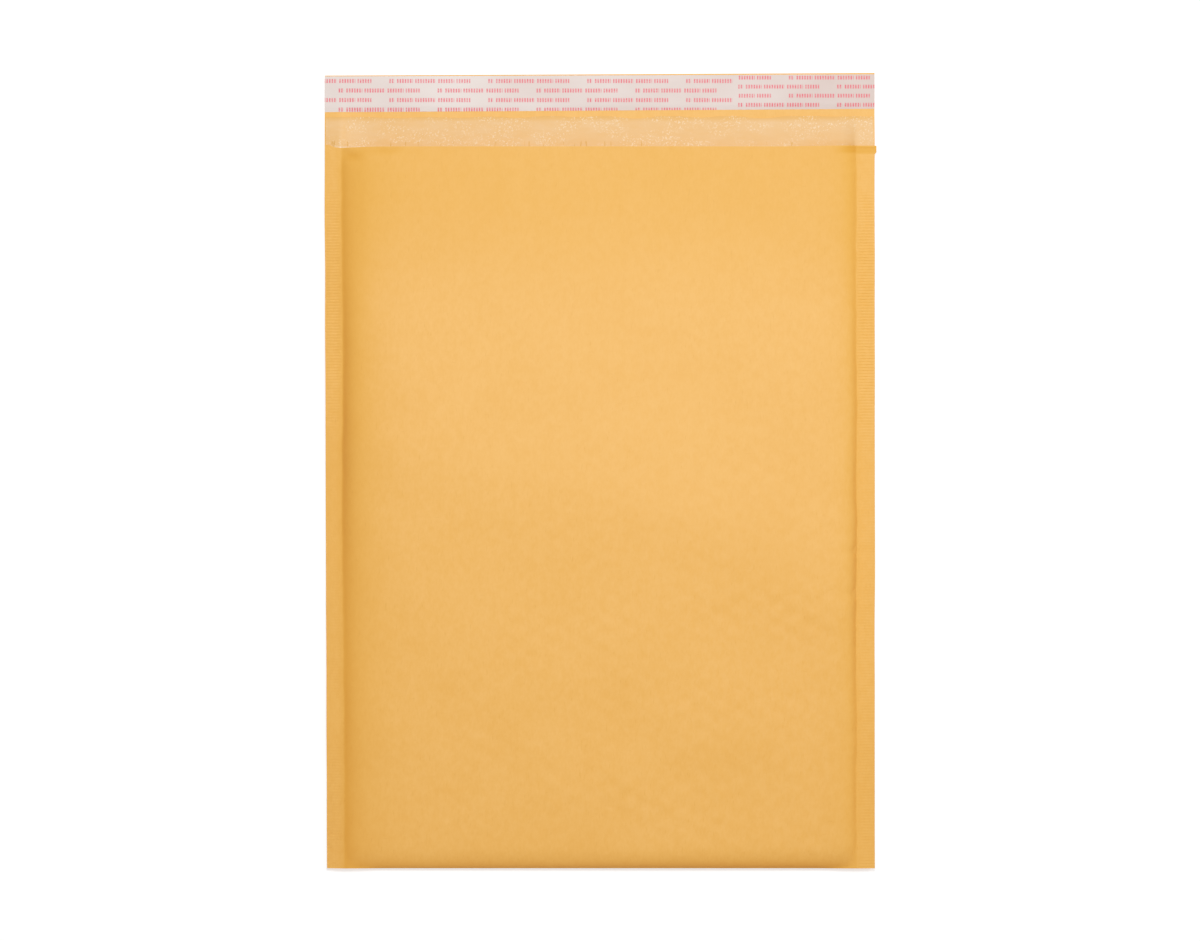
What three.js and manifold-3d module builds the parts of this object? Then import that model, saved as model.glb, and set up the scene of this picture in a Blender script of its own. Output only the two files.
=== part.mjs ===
// Padded envelope, empty, lying on its back with its flap open and its release liner in place.
// Millimetres. +X runs across the width, +Y from the bottom fold to the flap's free edge, +Z up.
// The origin is at the middle of the footprint, on the surface that the envelope lies on.
//
// Two webs make the envelope. The kraft cover is folded at the bottom and crimped at both sides, and
// the bubble lining is folded inside it. The back panel carries on past the mouth as the flap, which
// bears the lining's flat margin, a line of adhesive and the release liner.

import * as THREE from 'three';
import { mergeVertices } from 'three/addons/utils/BufferGeometryUtils.js';
import Module from 'manifold-3d';

const wasm = await Module();
wasm.setup();

// ---- Driving dimensions --------------------------------------------------------------------

const OUTLINE = {
  right: 145.3, // straight right edge
  leftAtFold: -144.1, // the left edge leans out towards the mouth
  leftAtMouth: -145.4,
  fold: -210, // bottom edge
  mouth: 171, // top edge of the front panel
  tipLeft: 209, // free edge of the flap, cut slightly askew
  tipRight: 210.4,
};

const SEAM = {
  left: 10, // width of the crimped side seams
  right: 9,
  thickness: 1.4, // two papers and two crushed films
  lift: 3.4, // height of the seam's underside above the surface below
};

const PADDING = {
  height: 13.6, // top of the front panel at the middle
  mouthHeight: 13, // top of the front panel at the mouth
  mouthTaper: 40, // length over which the height falls to that of the mouth
  edgeRadius: 16, // how far in from the seams the padding reaches nearly its full height
  crown: 0.08, // share of the height that builds up slowly towards the middle
  cornerRadius: 20, // corners of the padded area at the fold
};

const PAPER = 0.5;

// The space inside the paper: the insets are level, from the padded outline, and the drops upright,
// from the cover's outer faces.
const CAVITY = { inset: 0.7, drop: 0.6 };
const LINING = {
  thickness: 3, // film and bubbles
  inset: 1.3,
  drop: 0.9,
  setback: 0.6, // from the mouth back to the front layer's edge
};
const POCKET = {
  inset: 6,
  drop: LINING.drop + LINING.thickness,
  profileInset: 1, // how far in its faces start to follow the cover's section
};
const OVERRUN = 1; // how far the hollows run out past the mouth

const FLAP = {
  settle: 26, // distance past the mouth over which the flap's sides come down
  rows: 3, // facets along that distance
  overlap: 4, // how far the flap's solid runs into the pouch before they are joined
  rise: 0.05, // keeps the flap's faces off the pouch's own
};

const MARGIN = {
  end: 187.6,
  start: 0.5, // from the mouth to the start of its full width
  overlap: 8, // how far it runs into the pouch before it is joined to the lining
  lap: 4, // how far the part that comes out of the pouch runs under the full width
  overlapInset: 12, // from the padded outline, where it runs into the pouch
  thickness: 0.35,
  gap: 0.25, // to the flap
  sideInset: 0.6,
};
const ADHESIVE = { width: 12, thickness: 0.25, gap: 0.25, sideInset: 4 };
const LINER = {
  bottomLeft: 189.6,
  bottomRight: 191.4,
  topLeft: 208.2,
  topRight: 209.2,
  thickness: 0.2,
  gap: 0.25, // to the adhesive
};

// ---- Outline -------------------------------------------------------------------------------

const { lerp, clamp, inverseLerp } = THREE.MathUtils;

const leftEdge = (y) =>
  lerp(
    OUTLINE.leftAtFold,
    OUTLINE.leftAtMouth,
    clamp(inverseLerp(OUTLINE.fold, OUTLINE.mouth, y), 0, 1),
  );
const across = (x) => inverseLerp(OUTLINE.leftAtMouth, OUTLINE.right, x);
const flapTip = (x) => lerp(OUTLINE.tipLeft, OUTLINE.tipRight, across(x));

/** How far the rounded bottom corner pulls the padded area's side in, at a height above the fold. */
function cornerInset(aboveFold) {
  const radius = PADDING.cornerRadius;
  const rise = clamp(radius - aboveFold, 0, radius);
  return radius - Math.sqrt(radius * radius - rise * rise);
}

const paddedLeft = (y) => leftEdge(y) + SEAM.left + cornerInset(y - OUTLINE.fold);
const paddedRight = (y) => OUTLINE.right - SEAM.right - cornerInset(y - OUTLINE.fold);

/** How deep a point lies inside the padded area: 0 on its outline and outside it. */
function depthAt(x, y) {
  const radius = PADDING.cornerRadius;
  const fromLeft = x - leftEdge(y) - SEAM.left;
  const fromRight = OUTLINE.right - SEAM.right - x;
  const side = Math.min(fromLeft, fromRight);
  const above = y - OUTLINE.fold;
  if (side < radius && above < radius) {
    return Math.max(0, radius - Math.hypot(radius - side, radius - above));
  }
  return Math.max(0, Math.min(side, above));
}

// ---- Section of the padded area ------------------------------------------------------------

// Depths at which every sheet has a row of vertices, so that nested sheets bend at the same places.
const DEPTH_STATIONS = [0, 2, 5, 10, 18, 36, 75];
const DEEPEST = 140;
const BODY_ROWS = [-120, -50, 20, 80]; // rows of vertices between the fold's and the mouth's
const MOUTH_ROW = 12; // from the mouth back to the last row before it

/** Share of the full height at a depth: a rounded shoulder, then a slow crown. */
function fullness(depth) {
  const shoulder = clamp(depth / PADDING.edgeRadius, 0, 1);
  const rounded = Math.sqrt(1 - (1 - shoulder) ** 2);
  const crown = Math.sin((Math.PI / 2) * clamp(depth / DEEPEST, 0, 1));
  return (1 - PADDING.crown) * rounded + PADDING.crown * crown;
}

/** The same share with straight facets between the stations. */
function facetedFullness(depth) {
  const stations = [...DEPTH_STATIONS, DEEPEST];
  const inside = clamp(depth, 0, DEEPEST);
  const next = stations.findIndex((station) => station >= inside);
  const from = stations[Math.max(next - 1, 0)];
  const to = stations[Math.max(next, 1)];
  return lerp(fullness(from), fullness(to), inverseLerp(from, to, inside));
}

const panelHeight = (y) =>
  lerp(
    PADDING.height,
    PADDING.mouthHeight,
    clamp(inverseLerp(OUTLINE.mouth - PADDING.mouthTaper, OUTLINE.mouth, y), 0, 1),
  );

/** Underside of the back panel, and past the mouth of the flap, whose sides come down to rest. */
function underside(depth, y) {
  const settled = clamp((y - OUTLINE.mouth) / FLAP.settle, 0, 1);
  const lifted = 1 - Math.min(1, facetedFullness(depth) / facetedFullness(PADDING.edgeRadius));
  return SEAM.lift * lifted * (1 - settled);
}

/** Top of the front panel. */
function topside(depth, y) {
  const seamTop = SEAM.lift + SEAM.thickness;
  return lerp(seamTop, panelHeight(y), facetedFullness(depth));
}

// ---- Solids from segmented boxes -----------------------------------------------------------

const MERGE_DISTANCE = 1e-5;

/**
 * A closed solid whose plan is a grid of columns and rows.
 * columnsAt(y) gives the columns' x for a row, and floor(x, y) and roof(x, y) the two faces.
 */
function sheetSolid({ rows, columnsAt, floor, roof, rowAt = (y) => y }) {
  const columnCount = columnsAt(rows[0]).length;
  const geometry = new THREE.BoxGeometry(1, 1, 1, columnCount - 1, rows.length - 1, 1);
  geometry.deleteAttribute('normal');
  geometry.deleteAttribute('uv');
  const points = geometry.attributes.position;
  for (let i = 0; i < points.count; i += 1) {
    const column = Math.round((points.getX(i) + 0.5) * (columnCount - 1));
    const row = rows[Math.round((points.getY(i) + 0.5) * (rows.length - 1))];
    const x = columnsAt(row)[column];
    const y = rowAt(row, x);
    points.setXYZ(i, x, y, points.getZ(i) > 0 ? roof(x, y) : floor(x, y));
  }
  return toManifold(geometry);
}

/** Joins the vertices that the box's faces share, and makes the closed mesh a solid. */
function toManifold(geometry) {
  const merged = mergeVertices(geometry, MERGE_DISTANCE);
  return new wasm.Manifold(
    new wasm.Mesh({
      numProp: 3,
      vertProperties: new Float32Array(merged.attributes.position.array),
      triVerts: new Uint32Array(merged.index.array),
    }),
  );
}

function toGeometry(solid) {
  const mesh = solid.getMesh();
  const geometry = new THREE.BufferGeometry();
  geometry.setAttribute('position', new THREE.BufferAttribute(mesh.vertProperties, 3));
  geometry.setIndex(new THREE.BufferAttribute(mesh.triVerts, 1));
  geometry.computeVertexNormals();
  return geometry;
}

/** The columns of the padded area, set in from its outline, with rows of facets at the stations. */
function paddedColumns(y, inset) {
  const left = paddedLeft(y) + inset;
  const right = paddedRight(y) - inset;
  const fromLeft = DEPTH_STATIONS.map((depth) => left + depth);
  const fromRight = DEPTH_STATIONS.map((depth) => right - depth).reverse();
  return [...fromLeft, (left + right) / 2, ...fromRight];
}

/** The rows of the pouch, set in from the fold, up to an end near the mouth. */
function pouchRows(inset, end) {
  const start = OUTLINE.fold + inset;
  const shoulder = DEPTH_STATIONS.filter((depth) => depth < 2 * PADDING.cornerRadius);
  const first = shoulder.map((depth) => start + depth);
  const last = [OUTLINE.mouth - PADDING.mouthTaper, OUTLINE.mouth - MOUTH_ROW, end];
  return [...first, ...BODY_ROWS, ...last];
}

/**
 * A solid that follows the cover's outer faces inside them. Its outline is set in by inset, and its
 * faces follow the cover's section from profileInset inwards, drop below or above it.
 */
function nestedSolid({ inset, drop, end, profileInset = inset }) {
  return sheetSolid({
    rows: pouchRows(inset, end),
    columnsAt: (y) => paddedColumns(Math.max(y - inset, OUTLINE.fold), inset),
    floor: (x, y) => underside(depthAt(x, y) - profileInset, Math.min(y, OUTLINE.mouth)) + drop,
    roof: (x, y) => topside(depthAt(x, y) - profileInset, y) - drop,
  });
}

// ---- Kraft cover ---------------------------------------------------------------------------

const coverColumns = (y) => [leftEdge(y), ...paddedColumns(y, 0), OUTLINE.right];

/** Back panel, front panel, fold and crimped seams as one closed pillow, before it is hollowed. */
function pouchSolid() {
  return sheetSolid({
    rows: pouchRows(0, OUTLINE.mouth),
    columnsAt: coverColumns,
    floor: (x, y) => underside(depthAt(x, y), y),
    roof: (x, y) => topside(depthAt(x, y), y),
  });
}

/** The cover's columns, with the outermost ones brought in from its edges. */
const insetColumns = (y, inset) =>
  coverColumns(y).map((x) => clamp(x, leftEdge(y) + inset, OUTLINE.right - inset));

const flapFloor = (x, y) => underside(depthAt(x, y), y) + FLAP.rise;
const flapFace = (x, y) => flapFloor(x, y) + PAPER;

/** A strip lying on the flap, between two lines across it. */
function flapStrip({ from, to, columnsAt, gap, thickness }) {
  return sheetSolid({
    rows: [0, 1 / 3, 2 / 3, 1],
    columnsAt: () => columnsAt(OUTLINE.mouth),
    rowAt: (step, x) => lerp(from(x), to(x), step),
    floor: (x, y) => flapFace(x, y) + gap,
    roof: (x, y) => flapFace(x, y) + gap + thickness,
  });
}

function flapSolid() {
  const start = OUTLINE.mouth - FLAP.overlap;
  const steps = Array.from({ length: FLAP.rows + 1 }, (_, i) => i / FLAP.rows);
  const settling = steps.map((step) => FLAP.overlap + step * FLAP.settle);
  return sheetSolid({
    rows: [0, ...settling, Infinity],
    columnsAt: () => coverColumns(OUTLINE.mouth),
    rowAt: (along, x) => Math.min(start + along, flapTip(x)),
    floor: flapFloor,
    roof: flapFace,
  });
}

function kraftCover() {
  const cavity = nestedSolid({ ...CAVITY, end: OUTLINE.mouth + OVERRUN });
  return pouchSolid().add(flapSolid()).subtract(cavity);
}

// ---- Bubble lining -------------------------------------------------------------------------

function bubbleLining() {
  const { inset, drop } = LINING;
  const outer = nestedSolid({ inset, drop, end: OUTLINE.mouth - LINING.setback });
  const pocket = nestedSolid({ ...POCKET, end: OUTLINE.mouth + OVERRUN });
  const margin = flapStrip({
    from: () => OUTLINE.mouth + MARGIN.start,
    to: () => MARGIN.end,
    columnsAt: (y) => insetColumns(y, MARGIN.sideInset),
    gap: MARGIN.gap,
    thickness: MARGIN.thickness,
  });
  const tongue = flapStrip({
    from: () => OUTLINE.mouth - MARGIN.overlap,
    to: () => OUTLINE.mouth + MARGIN.start + MARGIN.lap,
    columnsAt: (y) => paddedColumns(y, MARGIN.overlapInset),
    gap: MARGIN.gap,
    thickness: MARGIN.thickness,
  });
  return outer.subtract(pocket).add(tongue).add(margin);
}

// ---- Adhesive and release liner ------------------------------------------------------------

const linerBottom = (x) => lerp(LINER.bottomLeft, LINER.bottomRight, across(x));
const linerTop = (x) => lerp(LINER.topLeft, LINER.topRight, across(x));
const linerMiddle = (x) => (linerBottom(x) + linerTop(x)) / 2;

function adhesiveStrip() {
  return flapStrip({
    from: (x) => linerMiddle(x) - ADHESIVE.width / 2,
    to: (x) => linerMiddle(x) + ADHESIVE.width / 2,
    columnsAt: (y) => insetColumns(y, ADHESIVE.sideInset),
    gap: ADHESIVE.gap,
    thickness: ADHESIVE.thickness,
  });
}

function releaseLiner() {
  return flapStrip({
    from: linerBottom,
    to: linerTop,
    columnsAt: coverColumns,
    gap: ADHESIVE.gap + ADHESIVE.thickness + LINER.gap,
    thickness: LINER.thickness,
  });
}

// ---- Scene graph ---------------------------------------------------------------------------

const KRAFT = { color: 0xe6ae68, roughness: 0.8, metalness: 0 };
const FILM = { color: 0xf2dcc0, roughness: 0.3, metalness: 0 };
const HOT_MELT = { color: 0xefe6cf, roughness: 0.25, metalness: 0 };
const SILICONE_PAPER = { color: 0xe8e2de, roughness: 0.35, metalness: 0 };

function part(name, solid, material) {
  const mesh = new THREE.Mesh(toGeometry(solid), new THREE.MeshStandardMaterial(material));
  mesh.name = name;
  return mesh;
}

const envelope = new THREE.Group();
envelope.add(
  part('kraft_cover', kraftCover(), KRAFT),
  part('bubble_lining', bubbleLining(), FILM),
  part('adhesive_strip', adhesiveStrip(), HOT_MELT),
  part('release_liner', releaseLiner(), SILICONE_PAPER),
);

export default envelope;
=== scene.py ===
"""Looks of the padded envelope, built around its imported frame.

The envelope lies on its back with its flap open. A kraft paper web makes the cover, a web of bubble
film lines it, and the flap bears the film's flat margin, a line of adhesive and the release liner.
Shapes are worked out in millimetres and become metres when a mesh is made.
"""

import logging
import math
from dataclasses import dataclass, field
from enum import Enum
from typing import Any, Callable, Sequence

import bmesh
import bpy
import numpy as np
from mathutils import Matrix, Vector


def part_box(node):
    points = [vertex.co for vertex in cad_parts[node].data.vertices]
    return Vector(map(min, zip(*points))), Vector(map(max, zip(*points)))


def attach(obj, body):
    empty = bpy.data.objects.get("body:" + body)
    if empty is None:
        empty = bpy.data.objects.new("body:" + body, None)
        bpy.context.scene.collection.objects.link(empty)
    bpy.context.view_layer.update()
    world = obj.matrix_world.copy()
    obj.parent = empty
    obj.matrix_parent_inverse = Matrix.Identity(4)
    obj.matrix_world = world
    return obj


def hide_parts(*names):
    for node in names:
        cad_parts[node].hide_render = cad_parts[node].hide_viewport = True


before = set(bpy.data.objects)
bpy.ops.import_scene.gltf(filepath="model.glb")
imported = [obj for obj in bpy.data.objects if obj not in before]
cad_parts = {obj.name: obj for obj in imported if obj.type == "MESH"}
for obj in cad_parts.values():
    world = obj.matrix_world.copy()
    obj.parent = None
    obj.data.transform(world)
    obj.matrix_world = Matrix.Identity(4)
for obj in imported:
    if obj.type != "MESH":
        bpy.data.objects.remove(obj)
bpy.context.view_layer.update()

MM = 0.001
# Name of the cover's point attribute that holds painted shade.
PAINTED_SHADE = "painted_shade"
log = logging.getLogger("padded_envelope")

Field = np.ndarray
Indices = np.ndarray


# ---- Small numeric helpers --------------------------------------------------------------------


def smooth(low: float, high: float, value: Field) -> Field:
    """Eases from 0 at low to 1 at high.

    Args:
        low: Where the ease starts.
        high: Where it ends.
        value: The values to ease.

    Returns:
        The eased values, from 0 to 1.
    """
    t = np.clip((np.asarray(value, float) - low) / (high - low), 0.0, 1.0)
    return t * t * (3.0 - 2.0 * t)


def lerp(a: Field, b: Field, t: Field) -> Field:
    """Goes straight from a at t = 0 to b at t = 1."""
    return a + (b - a) * t


@dataclass(frozen=True)
class Ripples:
    """A smooth, seeded, random relief of one typical wavelength."""

    wavelength: float
    seed: int
    waves: int = 14
    stretch: float = 1.0

    def at(self, x: Field, y: Field) -> Field:
        """Works the relief out.

        Args:
            x: Positions across, in millimetres.
            y: Positions along, in millimetres.

        Returns:
            Heights with a typical size of 1.
        """
        random = np.random.default_rng(self.seed)
        total = np.zeros(np.broadcast(x, y).shape)
        for _ in range(self.waves):
            angle = random.uniform(0.0, math.tau)
            number = math.tau / self.wavelength * random.uniform(0.6, 1.5)
            phase = random.uniform(0.0, math.tau)
            along = x * math.cos(angle) + y * math.sin(angle) / self.stretch
            total = total + np.cos(number * along + phase)
        return total / math.sqrt(self.waves / 2.0)


@dataclass(frozen=True)
class Crease:
    """A soft valley, or with a negative depth a ridge, along a straight line, in millimetres."""

    start: tuple[float, float]
    end: tuple[float, float]
    width: float
    depth: float
    fade: float = 0.3

    def at(self, x: Field, y: Field) -> Field:
        """Works out how far the crease lowers the surface.

        Args:
            x: Positions across, in millimetres.
            y: Positions along, in millimetres.

        Returns:
            Heights to add, in millimetres.
        """
        run = np.subtract(self.end, self.start)
        length = float(np.hypot(*run))
        direction = run / length
        dx, dy = x - self.start[0], y - self.start[1]
        along = (dx * direction[0] + dy * direction[1]) / length
        aside = dy * direction[0] - dx * direction[1]
        ends = smooth(0.0, self.fade, along) * smooth(1.0, 1.0 - self.fade, along)
        return -self.depth * ends * np.exp(-((aside / self.width) ** 2))


@dataclass(frozen=True)
class SoftSpot:
    """A round-edged spot that fades out with distance, in millimetres."""

    x: float
    y: float
    across: float
    along: float
    strength: float

    def at(self, x: Field, y: Field) -> Field:
        """Works out how strong the spot is at each place."""
        aside, ahead = (x - self.x) / self.across, (y - self.y) / self.along
        return self.strength * np.exp(-(aside**2) - ahead**2)


# ---- The envelope's form ----------------------------------------------------------------------


class Side(Enum):
    """The two faces of the envelope."""

    FRONT = 1.0
    BACK = -1.0


@dataclass(frozen=True)
class Shoulder:
    """How the padding rises from its edge: slope quickly built up, then slowly lost."""

    radius: float
    onset: float
    near: float
    far: float
    far_share: float

    def rise(self, depth: Field) -> Field:
        """Share of the full height.

        Args:
            depth: Distances inside the padding's edge, in millimetres.

        Returns:
            Values from 0 on the edge to 1 at the radius and beyond.
        """
        steps = np.linspace(0.0, self.radius, 600)
        slope = np.exp(-steps / self.near) + self.far_share * np.exp(-steps / self.far)
        slope = slope * (1.0 - np.exp(-steps / self.onset)) * (1.0 - (steps / self.radius) ** 3)
        height = np.concatenate([[0.0], np.cumsum(slope[1:] + slope[:-1])])
        return np.interp(depth, steps, height / height[-1])


@dataclass(frozen=True)
class BubblePattern:
    """The film's hexagonal pattern: columns of bubbles along the web, each second one staggered."""

    column_spacing: float
    pitch: float
    first_column: float
    first_row: float
    radius: float = 4.9

    def nearest(self, x: Field, v: Field) -> Field:
        """Distance to the nearest bubble's middle.

        Args:
            x: Positions across the web, in millimetres.
            v: Positions along the web, in millimetres.

        Returns:
            Distances in millimetres.
        """
        best = np.full(np.broadcast(x, v).shape, np.inf)
        for parity in (0, 1):
            column = (x - self.first_column) / self.column_spacing
            column = 2.0 * np.round((column - parity) / 2.0) + parity
            start = self.first_row + parity * self.pitch / 2.0
            row = np.round((v - start) / self.pitch)
            dx = x - self.first_column - column * self.column_spacing
            dv = v - start - row * self.pitch
            best = np.minimum(best, np.hypot(dx, dv))
        return best

    def dome(self, x: Field, v: Field) -> Field:
        """Soft relief of the bubbles as felt through the paper, from 0 between them to 1."""
        return smooth(self.radius * 1.25, self.radius * 0.2, self.nearest(x, v))


@dataclass(frozen=True)
class EnvelopeForm:
    """The outer faces of the paper as heights over the plan, all in millimetres."""

    left_mouth: float
    left_fold: float
    right: float
    fold: float
    mouth: float
    margin_end: float
    tip_left: float
    tip_right: float
    top: float
    seam_left: float = 8.6
    seam_right: float = 9.4
    seam_inner: float = 4.1
    seam_drop_left: float = 1.5
    seam_drop_right: float = 0.7
    seam_thickness: float = 1.0
    fold_drop: float = 1.4
    rib_left: float = 0.11
    rib_right: float = 0.21
    rib_pitch: float = 1.568
    bubble_relief: float = 0.26
    # Strength of the painted shade over the upper front panel.
    upper_painted_shade: float = 0.27
    dents: tuple[float, float] = (-42.5, -65.0)
    # Strengths of the painted shade on the left and right seams.
    seam_painted_shade_left: float = 0.12
    seam_painted_shade_right: float = 0.20
    corner_radius: float = 9.0
    paper: float = 0.25
    flap_settle: float = 26.0
    ridge_width: float = 9.0
    slope_up: float = 0.045
    slope_down: float = 0.055
    slope_reach: float = 135.0
    crown_x: float = 6e-5
    left_shoulder: Shoulder = Shoulder(radius=50.0, onset=1.2, near=3.2, far=16.0, far_share=0.28)
    right_shoulder: Shoulder = Shoulder(radius=26.0, onset=0.7, near=2.4, far=9.0, far_share=0.08)
    back_shoulder: Shoulder = Shoulder(radius=16.0, onset=0.9, near=3.4, far=8.0, far_share=0.1)
    bubbles: BubblePattern = BubblePattern(9.7, 11.2, -130.95, 0.0)
    creases: tuple[Crease, ...] = (
        Crease((-40.0, 178.0), (-37.0, 132.0), 4.2, 0.34, 0.45),
        Crease((-49.0, 180.0), (-47.0, 140.0), 5.0, -0.16, 0.45),
        Crease((-73.0, 176.0), (-72.0, 112.0), 2.6, 0.14, 0.4),
        Crease((-80.0, 176.0), (-79.0, 116.0), 3.0, -0.07, 0.4),
        Crease((23.0, 180.0), (24.0, 138.0), 3.0, 0.10, 0.4),
        Crease((86.0, 176.0), (88.0, 136.0), 1.0, 0.05, 0.4),
        Crease((-108.0, 113.0), (-72.0, 94.0), 1.8, 0.07, 0.3),
        Crease((108.0, -78.0), (134.0, -95.0), 1.6, 0.16, 0.35),
        Crease((106.0, -70.0), (134.0, -82.0), 5.0, -0.22, 0.35),
        Crease((-121.0, -106.0), (-106.0, -107.0), 1.1, 0.08, 0.35),
        Crease((-121.0, -155.0), (-104.0, -154.0), 1.2, 0.09, 0.35),
        Crease((-96.5, 72.0), (-96.0, 54.0), 1.0, 0.06, 0.35),
        Crease((65.4, -183.0), (65.8, -190.0), 1.1, 0.12, 0.4),
        Crease((21.0, -118.0), (21.5, -190.0), 1.2, 0.05, 0.3),
        Crease((38.0, -45.0), (38.5, -98.0), 1.3, 0.045, 0.3),
        Crease((-29.0, -36.0), (-29.5, -80.0), 1.2, 0.04, 0.3),
        Crease((127.8, -29.0), (128.2, -33.0), 1.2, 0.15, 0.4),
        Crease((131.0, -40.0), (136.0, -46.0), 2.0, 0.45, 0.35),
        Crease((131.0, -64.0), (136.0, -67.0), 2.0, 0.40, 0.35),
    )
    mouth_creases: tuple[Crease, ...] = (
        Crease((-148.0, 170.4), (-131.0, 171.2), 0.8, 0.26, 0.3),
        Crease((-137.0, 169.8), (-124.0, 162.0), 2.2, 0.45, 0.35),
        Crease((-122.0, 168.6), (-102.0, 168.8), 2.0, 0.36, 0.35),
        Crease((127.0, 170.6), (148.0, 170.0), 0.9, 0.16, 0.3),
        Crease((130.8, 173.0), (133.2, 164.5), 0.8, 0.26, 0.4),
        Crease((138.0, 173.0), (139.6, 165.0), 0.8, 0.13, 0.4),
    )
    # Soft spots of painted shade along the mouth's left end.
    mouth_shade_spots: tuple[SoftSpot, ...] = (
        SoftSpot(-130.5, 166.0, 5.0, 2.6, 0.35),
        SoftSpot(-112.0, 168.6, 8.0, 1.8, 0.25),
    )

    def left_edge(self, y: Field) -> Field:
        """The left edge, which leans out towards the mouth."""
        share = np.clip((y - self.fold) / (self.mouth - self.fold), 0.0, 1.0)
        return lerp(self.left_fold, self.left_mouth, share)

    def right_edge(self, y: Field) -> Field:
        """The right edge, which is straight."""
        return np.full(np.shape(y), self.right)

    def padding_left(self, y: Field) -> Field:
        """The left edge of the padding, which wanders a little.

        Args:
            y: Positions along, in millimetres.

        Returns:
            Positions across, in millimetres.
        """
        wander = 0.22 * Ripples(90.0, 3, 6).at(0.0, np.asarray(y, float))
        wander = wander + 0.12 * Ripples(22.0, 4, 6).at(0.0, np.asarray(y, float))
        return self.left_edge(y) + self.seam_left + wander

    def padding_right(self, y: Field) -> Field:
        """The right edge of the padding, with dents where the paper has buckled.

        Args:
            y: Positions along, in millimetres.

        Returns:
            Positions across, in millimetres.
        """
        y = np.asarray(y, float)
        wander = 0.2 * Ripples(70.0, 5, 6).at(0.0, y) + 0.1 * Ripples(16.0, 6, 6).at(0.0, y)
        for dent in self.dents:
            wander = wander - 0.7 * np.exp(-(((y - dent) / 2.6) ** 2))
        return self.right_edge(y) - self.seam_right + wander

    def mouth_edge(self, x: Field) -> Field:
        """The front panel's cut edge, a little askew at both seams.

        Args:
            x: Positions across, in millimetres.

        Returns:
            Positions along, in millimetres.
        """
        left = self.left_mouth + self.seam_left
        rise = 2.1 * smooth(left - 1.0, self.left_mouth, x) - 0.5 * smooth(left + 22.0, left, x)
        return self.mouth + rise + 0.7 * smooth(90.0, self.right, x)

    def tip_edge(self, x: Field) -> Field:
        """The flap's cut edge."""
        share = (x - self.left_mouth) / (self.right - self.left_mouth)
        return lerp(self.tip_left, self.tip_right, share)

    def depths(self, x: Field, y: Field) -> tuple[Field, Field, Field]:
        """Distances inside the padding's left, right and bottom edges, with round corners.

        Args:
            x: Positions across, in millimetres.
            y: Positions along, in millimetres.

        Returns:
            The distances from the left, the right and the bottom.
        """
        left = x - self.padding_left(y)
        right = self.padding_right(y) - x
        side = np.clip(np.minimum(left, right), 0.0, self.corner_radius)
        radius = self.corner_radius
        lift = radius - np.sqrt(np.clip(radius**2 - (radius - side) ** 2, 0.0, None))
        return left, right, y - self.fold - lift

    def edge_share(self, x: Field, y: Field, side: Side) -> Field:
        """Share of the padding's height, from its edges alone.

        Args:
            x: Positions across, in millimetres.
            y: Positions along, in millimetres.
            side: Which face.

        Returns:
            Values from 0 to 1.
        """
        left, right, bottom = self.depths(x, y)
        u = np.clip(bottom / 12.0, 0.0, 1.0)
        softness = 0.5 + 0.8 * smooth(24.0, 4.0, np.minimum(left, right))
        round_fold = (1.0 - (1.0 - u) ** 2) ** softness
        if side is Side.BACK:
            sides = self.back_shoulder.rise(left) * self.back_shoulder.rise(right)
        else:
            sides = self.left_shoulder.rise(left) * self.right_shoulder.rise(right)
        return sides * round_fold

    def seam_top(self, x: Field, y: Field) -> Field:
        """Top of the side seams, which droop towards their outer edges.

        Args:
            x: Positions across, in millimetres.
            y: Positions along, in millimetres.

        Returns:
            Heights in millimetres.
        """
        from_left = np.clip((self.padding_left(y) - x) / self.seam_left, 0.0, 1.0)
        from_right = np.clip((x - self.padding_right(y)) / self.seam_right, 0.0, 1.0)
        droop = self.seam_drop_left * from_left + self.seam_drop_right * from_right
        sway = 0.25 * Ripples(120.0, 8, 6).at(0.0, y) * (from_left + from_right)
        inside = np.minimum(x - self.padding_left(y), self.padding_right(y) - x)
        fold = self.fold_drop * smooth(0.0, 25.0, inside) * smooth(self.fold + 30.0, self.fold, y)
        return self.seam_inner - droop + sway - fold

    def seam_ribs(self, x: Field, y: Field) -> Field:
        """Relief of the crimping dies' ribs across the seams, strongest in the upper half.

        Args:
            x: Positions across, in millimetres.
            y: Positions along, in millimetres.

        Returns:
            Heights to add, in millimetres.
        """
        inside = np.minimum(self.padding_left(y) - x, x - self.left_edge(y))
        outside = np.minimum(x - self.padding_right(y), self.right_edge(y) - x)
        on_seam = self.rib_left * smooth(0.0, 1.6, inside) + self.rib_right * smooth(0.0, 1.6, outside)
        strength = 0.25 + 0.75 * smooth(5.0, 60.0, y) * smooth(150.0, 140.0, y)
        strength = strength + 0.22 * np.exp(-(((y - 116.0) / 7.0) ** 2))
        strength = strength + 0.3 * np.exp(-(((y - 93.0) / 5.0) ** 2))
        return on_seam * strength * np.cos(math.tau * y / self.rib_pitch)

    def panel_height(self, x: Field, y: Field) -> Field:
        """Height of the front panel away from its edges: a low tent with a rounded ridge.

        Args:
            x: Positions across, in millimetres.
            y: Positions along, in millimetres.

        Returns:
            Heights in millimetres.
        """
        ridge = -12.5 - 0.24 * x
        off = y - ridge
        slope = np.where(off > 0.0, self.slope_up, self.slope_down)
        run = np.sqrt(off**2 + self.ridge_width**2) - self.ridge_width
        tent = slope * self.slope_reach * (1.0 - np.exp(-run / self.slope_reach))
        sway = 0.16 * Ripples(75.0, 11).at(x, y) + 0.05 * Ripples(30.0, 12).at(x, y)
        return self.top - 0.5 - tent - self.crown_x * (x - 8.0) ** 2 + sway

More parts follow.
